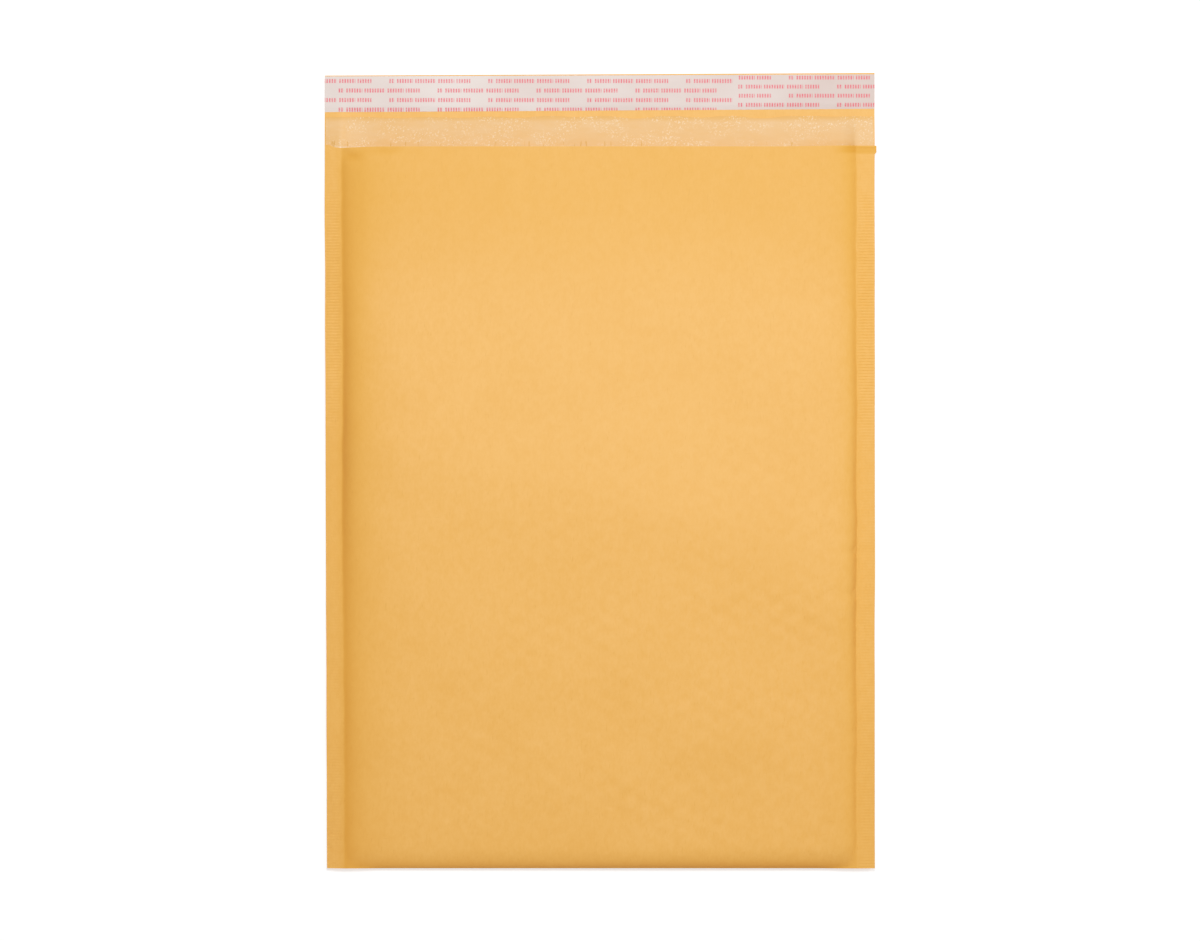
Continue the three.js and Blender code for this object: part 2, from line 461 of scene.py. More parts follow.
    def bubble_strength(self, x: Field, y: Field) -> Field:
        """How plainly the bubbles show through the front, most of all low on the right.

        Args:
            x: Positions across, in millimetres.
            y: Positions along, in millimetres.

        Returns:
            Values of about 0 to 1.6.
        """
        trend = 0.48 + 0.30 * x / 145.0 - 0.34 * y / 200.0
        patchy = 0.8 + 0.35 * Ripples(46.0, 21).at(x, y)
        return np.clip(trend, 0.12, 1.0) * np.clip(patchy, 0.15, 1.6)

    def height(self, x: Field, y: Field, side: Side) -> Field:
        """Height of the paper's outer face.

        Args:
            x: Positions across, in millimetres.
            y: Positions along, in millimetres.
            side: The front panel, or the back panel and flap.

        Returns:
            Heights over the surface that the envelope lies on, in millimetres.
        """
        share = self.edge_share(x, np.minimum(y, self.mouth), side)
        seam = self.seam_top(x, np.minimum(y, self.mouth))
        edges = self.seam_ribs(x, y)
        if side is Side.BACK:
            settled = smooth(self.mouth, self.mouth + self.flap_settle, y)
            low = (seam - self.seam_thickness) * (1.0 - settled) + 0.05 * settled
            gaps = 0.06 * (1.0 - self.bubbles.dome(x, self.web_of(y, side)))
            inside = smooth(0.97, 1.0, share) * smooth(self.mouth, self.mouth - 6.0, y)
            return low * (1.0 - share) + gaps * inside + edges * (1.0 - share) * (1.0 - settled)
        full = self.panel_height(x, y)
        inside = smooth(0.80, 1.0, share) * smooth(self.mouth, self.mouth - 14.0, y)
        relief = self.bubble_relief * self.bubble_strength(x, y)
        relief = relief * self.bubbles.dome(x, self.web_of(y, side))
        for crease in self.creases:
            relief = relief + crease.at(x, y)
        for crease in self.mouth_creases:
            edges = edges + crease.at(x, y)
        return seam + (full - seam) * share + relief * inside * np.clip(share, 0.0, 1.0) + edges

    def painted_shade(self, x: Field, y: Field) -> Field:
        """Painted shade: how far the paper's colour is darkened to stand in for shade that the lamps don't
        make.

        Args:
            x: Positions across, in millimetres.
            y: Positions along, in millimetres.

        Returns:
            Values from 0 to 1.
        """
        left = x - self.padding_left(np.minimum(y, self.mouth))
        right = self.padding_right(np.minimum(y, self.mouth)) - x
        # Painted shade along the padding's left crease, weaker near the mouth.
        at_left = 0.85 * smooth(-1.0, 1.6, left) * np.exp(-np.clip(left, 0.0, None) / 9.0)
        at_left = at_left * (1.0 - 0.45 * smooth(self.mouth - 14.0, self.mouth - 2.0, y))
        # Painted shade at the mouth's right corner and in soft spots along the mouth.
        mouth = 0.45 * smooth(122.0, 133.0, x) * smooth(self.mouth - 4.2, self.mouth - 2.6, y)
        for spot in self.mouth_shade_spots:
            mouth = mouth + spot.at(x, y)
        # Painted shade along the padding's right crease.
        at_right = 0.55 * smooth(-0.5, 1.2, right) * np.exp(-np.clip(right, 0.0, None) / 5.0)
        # Painted shade over both seams; on the left it fades out towards the fold.
        seam_left = self.seam_painted_shade_left * smooth(0.5, -0.5, left)
        seam_left = seam_left * smooth(self.fold, self.fold + 70.0, y)
        seam_right = self.seam_painted_shade_right * smooth(0.5, -0.5, right)
        # Painted shade along the bottom fold, away from the seams.
        rim = (0.34 + 0.22 * smooth(0.0, 90.0, x)) * np.exp(-(((y - self.fold) / 4.2) ** 2))
        rim = rim * smooth(0.0, 12.0, np.minimum(left, right))
        # Painted shade over the upper part of the front panel, up to the mouth.
        upper = self.upper_painted_shade * smooth(75.0, 150.0, y) * smooth(2.0, 12.0, left) * smooth(0.0, 4.0, right)
        total = at_left + at_right + seam_left + seam_right + rim + upper + mouth
        return np.clip(total, 0.0, 1.0) * smooth(self.mouth + 1.0, self.mouth, y)

    def web_of(self, y: Field, side: Side) -> Field:
        """Distance along the lining's web from its end on the flap.

        Args:
            y: Positions along, in millimetres.
            side: Which face.

        Returns:
            Distances in millimetres.
        """
        if side is Side.BACK:
            return self.margin_end - y
        return self.margin_end - self.fold + (y - self.fold)

    def outward(self, x: Field, y: Field, side: Side) -> Field:
        """Unit vectors out of the paper's outer face, one row for each point.

        Args:
            x: Positions across, in millimetres.
            y: Positions along, in millimetres.
            side: Which face.

        Returns:
            The vectors' x, y and z on the last axis.
        """
        step = 0.05
        dzdx = (self.height(x + step, y, side) - self.height(x - step, y, side)) / (2.0 * step)
        low = np.maximum(y - step, self.fold)
        dzdy = (self.height(x, y + step, side) - self.height(x, low, side)) / (y + step - low)
        vectors = side.value * np.stack([-dzdx, -dzdy, np.ones_like(dzdx)], axis=-1)
        return vectors / np.linalg.norm(vectors, axis=-1, keepdims=True)

    def point(self, x: Field, y: Field, side: Side, inward: Field = 0.0) -> Field:
        """Points at a distance under the paper's outer face.

        Args:
            x: Positions across, in millimetres.
            y: Positions along, in millimetres.
            side: Which face.
            inward: Distances under the outer face, in millimetres.

        Returns:
            One row of x, y and z for each point.
        """
        x, y, inward = np.broadcast_arrays(
            np.asarray(x, float), np.asarray(y, float), np.asarray(inward, float)
        )
        points = np.stack([x, y, self.height(x, y, side)], axis=-1)
        if np.any(inward > 0.0):
            points = points - self.outward(x, y, side) * inward[..., None]
        return points


def form_from_frame() -> EnvelopeForm:
    """Reads the envelope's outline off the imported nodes' boxes.

    Returns:
        The form, in millimetres.
    """
    cover_low, cover_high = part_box("kraft_cover")
    lining_low, lining_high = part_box("bubble_lining")
    margin_width = 16.6
    lean = 1.3
    skew = 1.4
    return EnvelopeForm(
        left_mouth=cover_low.x / MM,
        left_fold=cover_low.x / MM + lean,
        right=cover_high.x / MM,
        fold=cover_low.y / MM,
        mouth=lining_high.y / MM - margin_width,
        margin_end=lining_high.y / MM,
        tip_left=cover_high.y / MM - skew,
        tip_right=cover_high.y / MM,
        top=cover_high.z / MM,
    )


# ---- Meshes -----------------------------------------------------------------------------------


@dataclass
class MeshBuilder:
    """Collects points in millimetres and faces, and makes one object of them."""

    points: list[Field] = field(default_factory=list)
    faces: list[tuple[int, ...]] = field(default_factory=list)
    count: int = 0

    def add(self, points: Field) -> Indices:
        """Adds points.

        Args:
            points: An array whose last axis is x, y and z.

        Returns:
            The points' indices, in the array's shape without its last axis.
        """
        shape = points.shape[:-1]
        flat = points.reshape(-1, 3)
        self.points.append(flat)
        start = self.count
        self.count += len(flat)
        return np.arange(start, self.count).reshape(shape)

    def face(self, *corners: int) -> None:
        """Adds one face."""
        self.faces.append(tuple(int(c) for c in corners))

    def grid(self, rows: Indices) -> None:
        """Adds a grid of quads over rows of indices."""
        quads = np.stack([rows[:-1, :-1], rows[:-1, 1:], rows[1:, 1:], rows[1:, :-1]], axis=-1)
        self.faces.extend(map(tuple, quads.reshape(-1, 4).tolist()))

    def strip(self, one: Sequence[int], other: Sequence[int]) -> None:
        """Adds quads between two lines of the same number of points."""
        self.grid(np.stack([np.asarray(one), np.asarray(other)]))

    def build(self, name: str, sharp_angle: float = 40.0) -> bpy.types.Object:
        """Makes the object, with its faces turned out and its sharp edges marked.

        Args:
            name: The piece's name.
            sharp_angle: Faces that meet at more than this angle, in degrees, keep a sharp edge.

        Returns:
            The object, linked to the scene.
        """
        mesh = bpy.data.meshes.new(name)
        mesh.from_pydata((np.concatenate(self.points) * MM).tolist(), [], self.faces)
        work = bmesh.new()
        work.from_mesh(mesh)
        bmesh.ops.recalc_face_normals(work, faces=work.faces)
        work.to_mesh(mesh)
        work.free()
        mesh.shade_smooth()
        mesh.set_sharp_from_angle(angle=math.radians(sharp_angle))
        piece = bpy.data.objects.new(name, mesh)
        bpy.context.scene.collection.objects.link(piece)
        return piece


@dataclass
class Skin:
    """Indices of one face of a panel: fine rows on both seams and plain rows between them."""

    left: Indices
    middle: Indices
    right: Indices
    fine: int

    def row(self, index: int) -> Indices:
        """All the points of one plain row, from the left edge to the right one."""
        f = index * self.fine
        return np.concatenate([self.left[f], self.middle[index], self.right[f]])

    @property
    def last(self) -> int:
        """The last plain row's number."""
        return len(self.middle) - 1


@dataclass
class KraftCover:
    """The folded web of kraft paper: back panel and flap, front panel, fold and crimped seams."""

    form: EnvelopeForm
    seam_columns: int = 3
    shoulder_columns: int = 12
    shoulder_width: float = 18.0
    spacing: float = 1.96
    back_spacing: float = 3.136
    fold_rows: int = 9
    fold_length: float = 12.0
    rows_per_rib: int = 4
    coarse: int = 3
    flap_length: float = 39.0
    mouth_rows: tuple[float, ...] = (-4.4, -3.0, -2.0, -1.2, -0.6, 0.0)
    flap_rows: tuple[float, ...] = (
        -3.0, 0.0, 2.5, 5.0, 8.0, 11.0, 14.5, 18.0, 22.0, 26.0, 33.0, 39.0
    )

    def columns(self) -> Field:
        """Shares of the padding's width at which the columns between the seams stand.

        Returns:
            Values between 0 and 1.
        """
        form = self.form
        width = form.right - form.left_mouth - form.seam_left - form.seam_right
        steps = np.arange(1, self.shoulder_columns + 1) / self.shoulder_columns
        shoulder = self.shoulder_width * steps**1.6
        count = 2 * round((width - 2.0 * self.shoulder_width) / self.spacing / 2.0)
        body = np.linspace(self.shoulder_width, width - self.shoulder_width, count + 1)
        inside = np.concatenate([shoulder[:-1], body, (width - shoulder[:-1])[::-1]])
        return inside / width

    def rows(self, side: Side) -> Field:
        """Nominal positions of the plain rows from the fold up to the mouth or the flap's tip.

        Args:
            side: Front or back.

        Returns:
            Positions along, in millimetres.
        """
        form = self.form
        spacing = self.spacing if side is Side.FRONT else self.back_spacing
        end = form.mouth - 6.0
        count = int((end - form.fold - self.fold_length) / spacing)
        body = end - spacing * np.arange(count, -1, -1)
        near = (body[0] - form.fold) * (np.arange(self.fold_rows) / self.fold_rows) ** 2
        if side is Side.FRONT:
            last = self.mouth_rows
        else:
            last = self.flap_rows
        return np.concatenate([form.fold + near, body, form.mouth + np.array(last)])

    def true_y(self, x: Field, y: Field, side: Side) -> Field:
        """Moves nominal rows so that the last ones follow the cut edges.

        Args:
            x: Positions across, in millimetres.
            y: Nominal positions along.
            side: Front or back.

        Returns:
            The positions along, moved.
        """
        form = self.form
        if side is Side.FRONT:
            return y + (form.mouth_edge(x) - form.mouth) * smooth(form.mouth - 14.0, form.mouth, y)
        past = np.clip((y - form.mouth) / self.flap_length, 0.0, 1.0)
        return np.where(y > form.mouth, lerp(form.mouth, form.tip_edge(x), past), y)

    def edge_x(self, y: Field, side: Side) -> tuple[Field, Field]:
        """The paper's left and right cut edges, with the front's ear beside the mouth.

        Args:
            y: Positions along, in millimetres.
            side: Front or back.

        Returns:
            The left and right positions across.
        """
        form = self.form
        right = form.right_edge(y) + 0.05 * Ripples(60.0, 31, 6).at(0.0, y)
        if side is Side.FRONT:
            right = right + 0.9 * smooth(form.mouth - 4.6, form.mouth - 3.2, y)
        return form.left_edge(y) + 0.05 * Ripples(60.0, 32, 6).at(0.0, y), right

    def skin(self, builder: MeshBuilder, side: Side, inward: float) -> Skin:
        """Adds one face's points.

        Args:
            builder: The mesh being made.
            side: Front or back.
            inward: Distance under the outer face, in millimetres.

        Returns:
            The points' indices.
        """
        form = self.form
        plain = self.rows(side)
        fine = self.fine_steps(side)
        steps = np.arange(fine) / fine
        inner = (plain[:-1, None] + np.diff(plain)[:, None] * steps).ravel()
        rows = np.append(inner, plain[-1])
        left_edge, right_edge = self.edge_x(rows, side)
        clamped = np.minimum(rows, form.mouth)
        shares = np.arange(self.seam_columns + 1) / self.seam_columns
        left_x = lerp(left_edge[:, None], form.padding_left(clamped)[:, None], shares)
        right_x = lerp(form.padding_right(clamped)[:, None], right_edge[:, None], shares)
        rows = rows[:, None]
        ys = np.minimum(plain, form.mouth)[:, None]
        middle_x = lerp(form.padding_left(ys), form.padding_right(ys), self.columns()[None, :])
        indices = []
        for x, y in ((left_x, rows), (middle_x, plain[:, None]), (right_x, rows)):
            y = self.true_y(x, np.broadcast_to(y, x.shape), side)
            indices.append(builder.add(form.point(x, y, side, inward)))
        return Skin(indices[0], indices[1], indices[2], fine)

    def fine_steps(self, side: Side) -> int:
        """How many fine rows each plain row of a seam is divided into."""
        spacing = self.spacing if side is Side.FRONT else self.back_spacing
        return max(1, round(spacing / self.form.rib_pitch * self.rows_per_rib))

    def outer_faces(self, builder: MeshBuilder, skin: Skin) -> None:
        """Adds the faces of an outer skin, with wide faces where fine rows meet plain ones.

        Args:
            builder: The mesh being made.
            skin: The skin's points.
        """
        builder.grid(skin.left)
        builder.grid(skin.middle)
        builder.grid(skin.right)
        for i in range(skin.last):
            fine = slice(i * skin.fine, (i + 1) * skin.fine + 1)
            seam = skin.left[fine, -1]
            builder.face(*seam, skin.middle[i + 1, 0], skin.middle[i, 0])
            seam = skin.right[fine, 0][::-1]
            builder.face(*seam, skin.middle[i, -1], skin.middle[i + 1, -1])

    def coarse_columns(self, skin: Skin) -> list[int]:
        """The columns that the inside of an inner skin keeps.

        Args:
            skin: The skin's points.

        Returns:
            The columns' numbers, from left to right.
        """
        seam = len(skin.left[0])
        width = 2 * seam + skin.middle.shape[1]
        body = range(seam + self.coarse - 1, width - seam - 1, self.coarse)
        return [0, seam - 1, *body, width - seam, width - 1]

    def inner_faces(self, builder: MeshBuilder, skin: Skin, side: Side) -> None:
        """Adds an inner skin's faces: wide ones in the pocket, full detail on the flap.

        Args:
            builder: The mesh being made.
            skin: The skin's points.
            side: Front or back.
        """
        columns = self.coarse_columns(skin)
        plain = self.rows(side)
        full = skin.last if side is Side.FRONT else int(np.searchsorted(plain, self.form.mouth - 0.1))
        rows = list(range(0, full, self.coarse)) + list(range(full, skin.last + 1))
        for low, high in zip(rows[:-1], rows[1:]):
            below, above = skin.row(low), skin.row(high)
            kept = range(len(below)) if low >= full else columns
            for a, b in zip(kept[:-1], kept[1:]):
                fine = slice(low * skin.fine, high * skin.fine + 1)
                right = skin.right[fine, -1] if b == len(below) - 1 else (below[b], above[b])
                left = skin.left[fine, 0] if a == 0 else (below[a], above[a])
                top = above[a : b + 1] if high >= full else (above[a], above[b])
                builder.face(*right, *top[-2:0:-1], *left[::-1])

    def build(self) -> bpy.types.Object:
        """Makes the cover as one closed sheet.

        Returns:
            The cover's object.
        """
        builder = MeshBuilder()
        outer = {side: self.skin(builder, side, 0.0) for side in Side}
        inner = {side: self.skin(builder, side, self.form.paper) for side in Side}
        for side in Side:
            self.outer_faces(builder, outer[side])
            self.inner_faces(builder, inner[side], side)
            last = outer[side].last
            builder.strip(outer[side].row(last), inner[side].row(last))
            builder.strip(outer[side].left[:, 0], inner[side].left[:, 0])
            builder.strip(outer[side].right[:, -1], inner[side].right[:, -1])
        builder.strip(outer[Side.FRONT].row(0), outer[Side.BACK].row(0))
        columns = self.coarse_columns(inner[Side.FRONT])
        builder.strip(inner[Side.FRONT].row(0)[columns], inner[Side.BACK].row(0)[columns])
        for column in (0, -1):
            ends = [skin[side].row(0)[column] for skin in (outer, inner) for side in Side]
            builder.face(ends[0], ends[1], ends[3], ends[2])
        cover = builder.build("kraft_cover_looks")
        # Painted shade goes onto the cover as a point attribute, which the paper's material reads.
        places = np.concatenate(builder.points)
        painted_shade = cover.data.attributes.new(PAINTED_SHADE, "FLOAT", "POINT")
        painted_shade.data.foreach_set("value", self.form.painted_shade(places[:, 0], places[:, 1]))
        return cover


@dataclass
class BubbleLining:
    """The web of bubble film: hexagonal cells in the pocket and a crushed flat margin on the flap."""

    form: EnvelopeForm
    film: float = 0.12
    seam_inset: float = 0.6
    seam_depth: float = 0.37
    pocket_depth: float = 0.85
    margin_depth: float = 0.27
    margin_overlap: float = 3.0
    mouth_setback: float = 0.8
    dome_height: float = 3.2
    dome_radii: tuple[float, float, float] = (4.9, 4.3, 2.5)
    dome_levels: tuple[float, float, float] = (0.0, 0.66, 1.0)
    margin_spacing: float = 1.1

    @property
    def turn(self) -> float:
        """Where the web passes the fold."""
        return self.form.margin_end - self.form.fold

    @property
    def start(self) -> float:
        """Where the cells start, just inside the mouth."""
        return self.form.margin_end - self.form.mouth + self.margin_overlap

    @property
    def end(self) -> float:
        """Where the cells end, under the front panel's cut edge."""
        return self.turn + self.form.mouth - self.mouth_setback - self.form.fold

    def y_of(self, v: Field) -> Field:
        """Turns a distance along the web into a place along the envelope."""
        return np.where(v < self.turn, self.form.margin_end - v, self.form.fold + v - self.turn)

    def on_web(self, x: Field, v: Field, extra: Field) -> Field:
        """Points of the film.

        Args:
            x: Positions across, in millimetres.
            v: Distances along the web, in millimetres.
            extra: Distances from the film's paper side towards the pocket, in millimetres.

        Returns:
            One row of x, y and z for each point.
        """
        y = self.y_of(v)
        front_y = np.minimum(y, self.form.mouth)
        left, right, bottom = self.form.depths(x, front_y)
        depth = np.minimum(np.minimum(left, right), bottom)
        inward = lerp(self.seam_depth, self.pocket_depth, smooth(0.0, 4.5, depth)) + extra
        back = self.form.point(x, y, Side.BACK, inward)
        front = self.form.point(x, front_y, Side.FRONT, inward)
        ribs = self.form.seam_ribs(x, front_y)
        front[..., 2] -= ribs + self.sag(x, front_y) * smooth(0.0, 3.0, depth)
        back[..., 2] -= ribs * (y < self.form.mouth)
        return np.where((v < self.turn)[..., None], back, front)

    def sag(self, x: Field, y: Field) -> Field:
        """How far the front paper dips below a place within reach of the film's flat facets.

        Args:
            x: Positions across, in millimetres.
            y: Positions along, in millimetres.

        Returns:
            Distances in millimetres.
        """
        here = self.form.height(x, y, Side.FRONT)
        lowest = here
        for dx, dy in ((2.4, 0.0), (-2.4, 0.0), (0.0, -2.4), (1.7, -1.7), (-1.7, -1.7)):
            near = self.form.height(x + dx, np.maximum(y + dy, self.form.fold), Side.FRONT)
            lowest = np.minimum(lowest, near)
        return here - lowest

    def side_limits(self, v: Field) -> tuple[Field, Field]:
        """The padding's edges beside a place on the web."""
        y = np.minimum(self.y_of(v), self.form.mouth)
        return self.form.padding_left(y) + 0.3, self.form.padding_right(y) - 0.3

    def cells(self) -> tuple[dict[tuple[int, int], list[float]], list[tuple[float, float, list]]]:
        """Lays out the hexagonal cells.

        Returns:
            The corners by their place in the lattice, moved onto the web's edges where they would
            pass them, and the cells as their middles and their corners' places.
        """
        pattern = self.form.bubbles
        third = pattern.column_spacing / 3.0
        half = pattern.pitch / 2.0
        first, last = int(self.start / half) - 4, int(self.end / half) + 5
        levels = np.arange(first, last)
        held = np.clip(pattern.first_row + levels * half, self.start, self.end)
        limits = dict(zip(levels.tolist(), zip(held, *self.side_limits(held))))
        corners: dict[tuple[int, int], list[float]] = {}
        inside: dict[tuple[int, int], bool] = {}
        found = []
        for k in range(-3, 32):
            for level in range(first + 1, last - 1):
                if (level - k) % 2:
                    continue
                places = [(3 * k + 2, level), (3 * k + 1, level + 1), (3 * k - 1, level + 1)]
                places += [(3 * k - 2, level), (3 * k - 1, level - 1), (3 * k + 1, level - 1)]
                for place in places:
                    v, low, high = limits[place[1]]
                    x = pattern.first_column + place[0] * third
                    corners[place] = [min(max(x, low), high), v]
                    inside[place] = low < x < high and self.start < v < self.end
                if any(inside[place] for place in places):
                    middle = (pattern.first_column + 3 * k * third, pattern.first_row + level * half)
                    found.append((*middle, places))
        used = {place for cell in found for place in cell[2]}
        kept = {place: corners[place] for place in sorted(used)}
        for v in (self.start, self.end):
            for x in (float(e) for e in self.side_limits(np.array(v))):
                gaps = {p: (at[0] - x) ** 2 + (at[1] - v) ** 2 for p, at in kept.items()}
                kept[min(gaps, key=gaps.get)] = [x, v]
        return kept, found

    def margin_relief(self, x: Field, y: Field) -> Field:
        """Relief of the flat margin: traces of crushed bubbles and soft waves.

        Args:
            x: Positions across, in millimetres.
            y: Positions along, in millimetres.

        Returns:
            Heights in millimetres.
        """
        pattern = self.form.bubbles
        dome = pattern.dome(x + 1.5 * Ripples(40.0, 51, 8).at(x, y), self.form.margin_end - y)
        waves = 0.5 + 0.5 * Ripples(13.0, 52, 12, 0.7).at(x, y)
        strength = 0.35 + 0.4 * smooth(60.0, 130.0, x) + 0.2 * smooth(-60.0, -135.0, x)
        return np.clip(0.16 * dome * strength + 0.10 * waves * strength + 0.08, 0.0, 0.9)

    def build(self) -> bpy.types.Object:
        """Makes the lining as one closed film.

        Returns:
            The lining's object.
        """
        builder = MeshBuilder()
        corners, cells = self.cells()
        places = sorted(corners)
        number = {place: i for i, place in enumerate(places)}
        flat = np.array([corners[place] for place in places])
        skins = [builder.add(self.on_web(flat[:, 0], flat[:, 1], np.full(len(flat), depth)))
                 for depth in (0.0, self.film)]
        loops = np.array([[number[place] for place in cell[2]] for cell in cells])
        for loop in loops:
            builder.face(*skins[0][loop])
        middles = np.array([cell[:2] for cell in cells])
        self.domes(builder, skins[1][loops], middles[:, 0], middles[:, 1])
        self.margin(builder, self.seams(builder, flat, skins))
        return builder.build("bubble_lining_looks", 50.0)

    def domes(self, builder: MeshBuilder, loops: Indices, x: Field, v: Field) -> None:
        """Adds the cells' faces on the pocket side, with a dome wherever there is room for one.

        Args:
            builder: The mesh being made.
            loops: Each cell's six corners.
            x: The cells' middles across the web.
            v: The cells' middles along the web.
        """
        low, high = self.side_limits(v)
        room = np.minimum.reduce([x - low, high - x, v - self.start, self.end - v])
        roomy = room > self.dome_radii[0] + 0.4
        for loop in loops[~roomy]:
            builder.face(*loop)
        loops, x, v = loops[roomy], x[roomy], v[roomy]
        y = self.y_of(v)
        shares = [self.form.edge_share(x, np.minimum(y, self.form.mouth), side) for side in Side]
        share = np.where(v < self.turn, shares[1], shares[0])
        filled = smooth(0.55, 0.98, share) * smooth(0.0, 14.0, np.abs(v - self.turn))
        luck = np.random.default_rng(61).uniform(0.8, 1.08, len(x))
        height = self.dome_height * luck * (0.06 + 0.94 * filled)
        rings = []
        for radius, level, count in zip(self.dome_radii, self.dome_levels, (12, 12, 6)):
            angles = math.tau * np.arange(count) / count
            ring_x = x[:, None] + radius * np.cos(angles)
            ring_v = v[:, None] + radius * np.sin(angles)
            extra = self.film + height[:, None] * level
            rings.append(builder.add(self.on_web(ring_x, ring_v, extra)))
        for loop, base, shoulder, crown in zip(loops, *rings):
            for i in range(6):
                a, b, c = 2 * i, 2 * i + 1, (2 * i + 2) % 12
                builder.face(loop[i], loop[(i + 1) % 6], base[c], base[b], base[a])
                builder.face(shoulder[a], shoulder[b], shoulder[c], crown[(i + 1) % 6], crown[i])
            for i in range(12):
                j = (i + 1) % 12
                builder.face(base[i], base[j], shoulder[j], shoulder[i])
            builder.face(*crown)

    def seams(self, builder: MeshBuilder, flat: Field, skins: list[Indices]) -> list[Indices]:
        """Adds the film inside both side seams and closes the web's long edges and far end.

        Args:
            builder: The mesh being made.
            flat: Each lattice corner's place across and along the web.
            skins: The corners' indices on the paper side and the pocket side.

        Returns:
            The lines where the cells start, from left to right, on both sides of the film.
        """
        low, high = self.side_limits(flat[:, 1])
        at_left = np.flatnonzero(np.abs(flat[:, 0] - low) < 1e-6)
        at_right = np.flatnonzero(np.abs(flat[:, 0] - high) < 1e-6)
        at_left = at_left[np.argsort(flat[at_left, 1])]
        at_right = at_right[np.argsort(flat[at_right, 1])]
        edges: dict[int, list[Indices]] = {0: [], 1: []}
        for line, sign in ((at_left, -1.0), (at_right, 1.0)):
            v = flat[line, 1]
            y = np.minimum(self.y_of(v), self.form.mouth)
            edge = self.form.left_edge(y) if sign < 0.0 else self.form.right_edge(y)
            edge = edge - sign * self.seam_inset
            for i, skin in enumerate(skins):
                extra = np.full(len(line), i * self.film)
                middle = builder.add(self.on_web(lerp(flat[line, 0], edge, 0.5), v, extra))
                outer = builder.add(self.on_web(edge, v, extra))
                builder.strip(skin[line], middle)
                builder.strip(middle, outer)
                edges[i].append(np.stack([middle, outer]))
        for side in (0, 1):
            builder.strip(edges[0][side][1], edges[1][side][1])
        starts = []
        for limit, position in ((self.start, 0), (self.end, -1)):
            line = np.flatnonzero(np.abs(flat[:, 1] - limit) < 1e-6)
            line = line[np.argsort(flat[line, 0])]
            whole = []
            for i, skin in enumerate(skins):
                left, right = edges[i][0][:, position], edges[i][1][:, position]
                whole.append(np.concatenate([left[::-1], skin[line], right]))
            if position == 0:
                starts = whole
            else:
                builder.strip(whole[0], whole[1])
        return starts

    def margin(self, builder: MeshBuilder, starts: list[Indices]) -> None:
        """Adds the flat margin that runs out onto the flap.

        Args:
            builder: The mesh being made.
            starts: The lines where the cells start, on both sides of the film.
        """
        form = self.form
        left, right = form.left_mouth + self.seam_inset, form.right - self.seam_inset
        columns = np.linspace(left, right, round((right - left) / self.margin_spacing) + 1)
        first = form.mouth - self.margin_overlap + 0.8
        rows = np.linspace(first, form.margin_end, round((form.margin_end - first) / self.margin_spacing))
        x, y = np.meshgrid(columns, rows)
        wave = 0.45 + 0.35 * Ripples(38.0, 53, 10).at(columns, 0.0 * columns)
        past = np.clip((y - form.mouth) / (form.margin_end - form.mouth), 0.0, 1.0)
        y = y - np.clip(wave, 0.0, 1.4)[None, :] * past**2
        relief = self.margin_relief(x, y)
        nearby = smooth(first, first + 2.5, y)
        skins = []
        for base, lift in ((0.0, 0.0 * relief), (self.film, relief)):
            depth = lerp(self.pocket_depth * 0.6, self.margin_depth, nearby) + base + lift * nearby
            skins.append(builder.add(form.point(x, y, Side.BACK, depth)))
        for skin, start in zip(skins, starts):
            builder.grid(skin)
            self.zip_lines(builder, start, skin[0])
        for a, b in ((skins[0][-1], skins[1][-1]), (skins[0][:, 0], skins[1][:, 0]),
                     (skins[0][:, -1], skins[1][:, -1])):
            builder.strip(a, b)
        for column in (0, -1):
            low, high = starts[0][column], starts[1][column]
            builder.face(low, high, skins[1][0][column], skins[0][0][column])

    def zip_lines(self, builder: MeshBuilder, one: Indices, other: Indices) -> None:
        """Joins two lines of different numbers of points with triangles, from left to right.

        Args:
            builder: The mesh being made.
            one: The first line's indices.
            other: The second line's indices.
        """
        points = np.concatenate(builder.points)
        a, b = 0, 0
        while a < len(one) - 1 or b < len(other) - 1:
            forward = b == len(other) - 1
            if a < len(one) - 1 and b < len(other) - 1:
                forward = points[one[a + 1], 0] < points[other[b + 1], 0]
            if forward:
                builder.face(one[a], one[a + 1], other[b])
                a += 1
            else:
                builder.face(one[a], other[b + 1], other[b])
                b += 1


